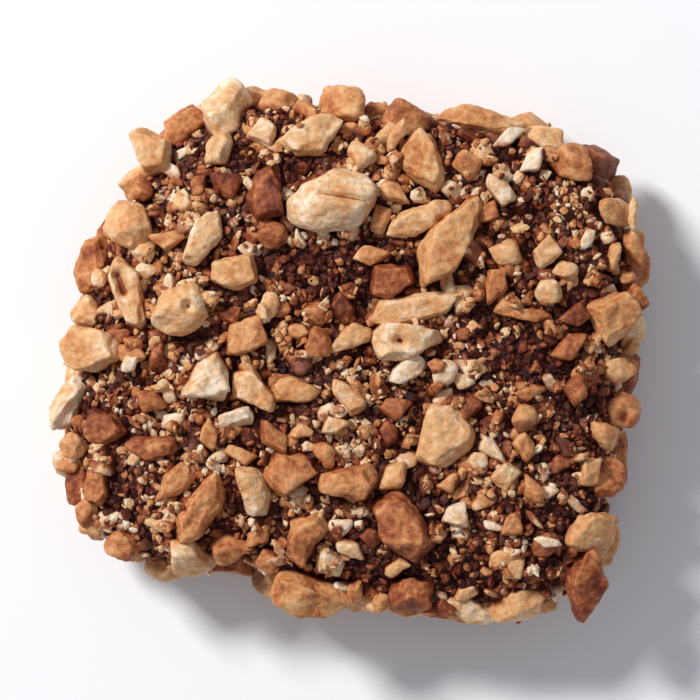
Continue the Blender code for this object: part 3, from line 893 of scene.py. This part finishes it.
def looseShapes(settings):
    rng = np.random.default_rng(settings["seed"])
    shape = random.Random(settings["seed"])
    directions, _ = unitBall(settings["detail"])
    library = []
    for _ in range(settings["shapes"]):
        kind = "kernel" if shape.random() < strewing["kernelShare"] else "chunk"
        length = strewing["short"] if shape.random() < strewing["shortShare"] else strewing["long"]
        points = cornerPoints(shape, kind, length, strewing["narrowing"])
        library.append(brokenShape(directions, points, rng, broken["loose"]))
    return library


def crowded(cells, spot, reach, cell):
    key = tuple(int(part // cell) for part in spot)
    for step in product((-1, 0, 1), repeat=3):
        for other, otherReach in cells.get(tuple(map(sum, zip(key, step))), ()):
            if np.linalg.norm(other - spot) < reach + otherReach:
                return True
    cells.setdefault(key, []).append((spot, reach))
    return False


def shareKept(face, settings):
    # all that fall on the chocolate stay there, and few on nuts or on finer almond
    if face < firstNutFace:
        return 1.0
    return settings["onNuts"] if face < firstFineFace else settings["onFine"]


def driftAt(centre, drift):
    return noise.noise(Vector(centre) / drift["size"]) * drift["amount"]


def colourOf(rng, centre, cleanShare, dark, pale):
    # its tone, and how clean of chocolate it is
    share = cleanShare * (darkAndShadowedCrumbs["clean"] if dark else 1 + driftAt(centre, strewing["stainDrift"]))
    if pale:
        share = paleCrumbs["clean"]
    clean = rng.random() < share
    stand = rng.uniform(*strewing["clean" if clean else "stained"])
    drift = driftAt(centre, strewing["toneDrift"])
    tone = min(max(drawnTone(rng, strewing["tones"]) + drift, 0.0), 1.0)
    # darker in the dark patches: partly chocolate, partly painted shadow of the pieces beside them
    tone *= darkAndShadowedCrumbs["tone"] if dark else paleCrumbs["tone"] if pale else 1
    return {"tone": min(tone, strewing["palest"]), "clean": stand}


def strewn(settings, tree):
    rng = np.random.default_rng(settings["seed"])
    library = looseShapes(settings)
    spots, normals = spotsOn(coatPoints, coatFaces, settings["tries"], rng)
    cell = settings["length"][1]
    shapes, cells = [], {}
    for spot, normal in zip(spots, normals):
        if len(shapes) == settings["most"]:
            break
        length = rng.uniform(*settings["length"])
        chance = rng.random()
        start = spot + normal * strewing["rayMm"]
        hit, hitNormal, face, distance = tree.ray_cast(start, -Vector(normal))
        if hit is None or strewing["rayMm"] - distance > strewing["proudestMm"]:
            continue
        if chance > shareKept(face, settings):
            continue
        onTop = normal[2] > strewing["topFacing"]
        dark = onTop and insideAny(darkAndShadowedPatches, hit.x, hit.y)
        pale = onTop and insideAny(palePatches, hit.x, hit.y)
        if dark and (chance > darkAndShadowedCrumbs["share"] or length > darkAndShadowedCrumbs["longest"]):
            continue
        if onTop and length > strewing["longestInPatches"] and insideAny(crumbPatches, hit.x, hit.y):
            continue
        width = length * rng.uniform(*strewing["widthToLength"])
        thick = width * rng.uniform(*strewing["thickToWidth"])
        settled = rng.uniform(*strewing["settled"])
        centre = np.array(hit) + normal * thick * (0.5 - settings["sink"]) * settled
        if centre[2] + length / 2 > strewing["highestMm"]:
            continue
        if settings["spacing"] and crowded(cells, centre, length * settings["spacing"] / 2, cell):
            continue
        local, rim = library[rng.integers(len(library))]
        turned = turnOf(rng, hitNormal, strewing["lying"])
        placed = local * np.array([length, width, thick]) / 2 @ turned.T + centre
        colour = colourOf(rng, centre, settings["cleanShare"], dark, pale)
        shapes.append({"points": placed, "rim": rim, "skin": np.zeros(len(rim)), **colour})
    return shapes


# small pieces that lie in view on top: x, y, length, width, turn, tone
smallOnTop = (
    (-1.2, -14.2, 2.2, 2.0, 0, 0.90), (16.4, -2.2, 1.9, 1.3, -50, 0.95), (14.6, -3.0, 3.0, 1.3, 12, 0.50),
    (-15.2, 15.4, 2.0, 1.3, -50, 0.97), (-18.8, -0.6, 1.9, 1.3, 60, 0.95), (-15.2, -5.4, 2.4, 1.3, 10, 0.97),
    (-6.4, -17.2, 3.0, 0.9, -10, 0.78), (-1.0, -19.4, 1.8, 1.1, 20, 0.97), (16.1, -11.4, 2.1, 1.2, 5, 0.78),
    (16.2, -15.6, 2.1, 1.0, -10, 0.92), (15.0, -13.6, 2.0, 0.8, -45, 0.84), (10.8, -12.3, 2.2, 1.8, 0, 0.62),
    (10.3, -8.8, 2.0, 2.0, 0, 0.84), (9.0, -2.0, 2.1, 1.8, 0, 0.80), (19.4, 9.8, 2.0, 1.2, 50, 0.90),
    (24.2, 12.4, 2.6, 1.2, 85, 0.72), (-4.8, 2.0, 2.0, 1.6, 0, 0.56), (23.4, 0.8, 1.8, 1.4, 0, 0.56),
    (-24.0, -9.2, 2.2, 1.6, 0, 0.46), (-18.4, -5.6, 2.4, 0.8, -25, 0.84), (-4.4, -6.4, 1.8, 1.4, 0, 0.62),
    (-3.8, -7.6, 1.4, 1.2, 0, 0.88), (2.2, -20.6, 1.8, 1.8, 0, 0.56), (2.9, -6.5, 2.4, 2.0, 80, 0.16),
    (-6.3, 4.1, 2.2, 1.8, 0, 0.34), (-7.0, 0.4, 2.4, 1.4, 80, 0.80), (6.9, -0.9, 1.6, 1.4, 0, 0.36),
    (3.5, 18.3, 3.0, 1.3, 70, 0.66), (-0.5, 18.9, 1.8, 1.4, 30, 0.70), (18.2, 6.1, 1.6, 1.0, 70, 0.76),
    (22.9, 6.6, 1.5, 1.2, 0, 0.48), (15.2, 9.8, 2.4, 0.9, 85, 0.97), (17.4, 9.6, 2.0, 1.2, 20, 0.86),
    (17.0, 2.0, 1.8, 1.2, -50, 0.68), (20.8, -2.9, 1.6, 1.0, 20, 0.38), (9.2, -11.0, 2.6, 1.1, 80, 0.84),
    (17.0, -9.0, 2.4, 1.6, 30, 0.30), (18.6, -12.5, 2.6, 1.0, -40, 0.80), (9.4, -19.8, 2.2, 1.4, 20, 0.64),
    (12.2, -20.0, 1.4, 1.0, 0, 0.82), (7.2, -20.0, 1.4, 0.8, -40, 0.95), (17.4, -19.0, 1.8, 0.9, -60, 0.58),
    (-6.3, -14.3, 2.6, 1.0, -35, 0.80), (1.6, -15.2, 2.2, 1.9, 0, 0.16), (4.6, -8.6, 2.2, 1.8, 0, 0.70),
    (-12.7, 1.1, 2.4, 0.8, 10, 0.80), (-7.6, 3.5, 1.8, 1.2, -60, 0.82), (-10.3, 3.4, 2.2, 1.8, 0, 0.24),
    (-14.2, 12.7, 1.8, 1.5, 60, 0.70), (-9.9, 12.9, 1.6, 1.2, 30, 0.68), (-14.9, 14.5, 1.6, 1.1, -30, 0.52),
    (-20.8, 3.9, 1.6, 1.2, 30, 0.76), (-19.8, 1.6, 2.4, 1.9, 0, 0.26), (7.4, -3.4, 2.0, 1.4, 30, 0.86),
    (-12.6, 15.2, 1.8, 1.2, 20, 0.30), (-15.4, -13.6, 1.6, 1.2, 0, 0.66), (-18.4, -8.6, 1.6, 1.1, 40, 0.80),
)
smallRules = {
    "seed": 17,
    "detail": 3,
    "thick": 0.6,  # next to their width
    "upright": 0.6,
    "sink": 0.2,
    "clean": 0.3,  # as for the large nuts
    "cornerLength": 4,  # it gives them five corners
    "narrowing": 0.2,
    "relief": ((0.8, 0.12),),
    "above": 30,  # where their way down starts
    "step": 0.02,  # how much nearer the middle one past the rim is tried again
}


def smallShapes(table, rules, tree):
    # each is let down from above onto whatever lies there
    rng = np.random.default_rng(rules["seed"])
    directions, _ = unitBall(rules["detail"])
    shapes = []
    for number, (x, y, length, width, turn, tone) in enumerate(table):
        shape = random.Random(rules["seed"] + number)
        points = cornerPoints(shape, "chunk", rules["cornerLength"], rules["narrowing"])
        local, rim = brokenShape(directions, points, rng, broken["loose"])
        hit, inward = None, 1.0
        while hit is None:
            above = Vector((x * inward, y * inward, rules["above"]))
            hit, normal, _, _ = tree.ray_cast(above, Vector((0, 0, -1)))
            inward -= rules["step"]
        up = (normal + Vector((0, 0, rules["upright"]))).normalized()
        size = np.array((length, width, width * rules["thick"]))
        axes = np.array(facing(up, math.radians(turn))).T
        centre = np.array(hit + up * size[2] * (0.5 - rules["sink"]))
        placed = roughened(local * size / 2 @ axes + centre, directions @ axes, rules["relief"])
        skin = np.zeros(len(rim))
        shapes.append({"points": placed, "rim": rim, "skin": skin, "tone": tone, "clean": rules["clean"]})
    return shapes


slivers = smallShapes(smallOnTop, smallRules, treeOf(shells))
shells.append(grainPiece("almondSlivers", slivers, smallRules["detail"]))
firstFineFace = sum(len(faces) for _, faces in shells)
for settings in fineAlmond:
    shells.append(grainPiece(settings["name"], strewn(settings, treeOf(shells)), settings["detail"]))

stage = {
    "floor": "#fbfafa",
    "floorWidth": 1.6,
    "floorRoughness": 0.8,
    "keyFrom": (-0.52, 0.42, 0.62),
    "keyWidth": 0.17,
    "keyPower": 8.1,
    "fillStrength": 0.40,
    "fillColour": "#eef4ff",
    "lens": 300,
    "cameraHeight": 0.50,
}


def addStage(settings):
    # white card, one lamp over the upper left corner and a cool light all round
    material, tree = newMaterial("matt_white_card")
    card = {"Base Color": hexToLinear(settings["floor"]), "Roughness": settings["floorRoughness"]}
    shader = addNode(tree, "ShaderNodeBsdfPrincipled", card)
    addNode(tree, "ShaderNodeOutputMaterial", links={"Surface": shader.outputs[0]})
    bm = bmesh.new()
    bmesh.ops.create_grid(bm, x_segments=1, y_segments=1, size=settings["floorWidth"] / 2)
    mesh = bpy.data.meshes.new("floor")
    bm.to_mesh(mesh)
    bm.free()
    mesh.materials.append(material)
    floor = bpy.data.objects.new("floor", mesh)
    bpy.context.scene.collection.objects.link(floor)
    light = bpy.data.lights.new("key", "AREA")
    light.size = settings["keyWidth"]
    light.energy = settings["keyPower"]
    key = bpy.data.objects.new("key", light)
    key.location = settings["keyFrom"]
    key.rotation_euler = (-key.location).to_track_quat("-Z", "Y").to_euler()
    bpy.context.scene.collection.objects.link(key)
    world = bpy.data.worlds.new("soft_fill")
    world.use_nodes = True
    fill = world.node_tree.nodes["Background"]
    fill.inputs["Strength"].default_value = settings["fillStrength"]
    fill.inputs["Color"].default_value = hexToLinear(settings["fillColour"])
    bpy.context.scene.world = world


def addCamera(settings):
    data = bpy.data.cameras.new("camera")
    data.lens = settings["lens"]
    camera = bpy.data.objects.new("camera", data)
    camera.location = (0, 0, settings["cameraHeight"])
    bpy.context.scene.collection.objects.link(camera)
    bpy.context.scene.camera = camera


addStage(stage)
addCamera(stage)
bpy.context.scene.view_settings.view_transform = "Standard"
print("stage and camera set")
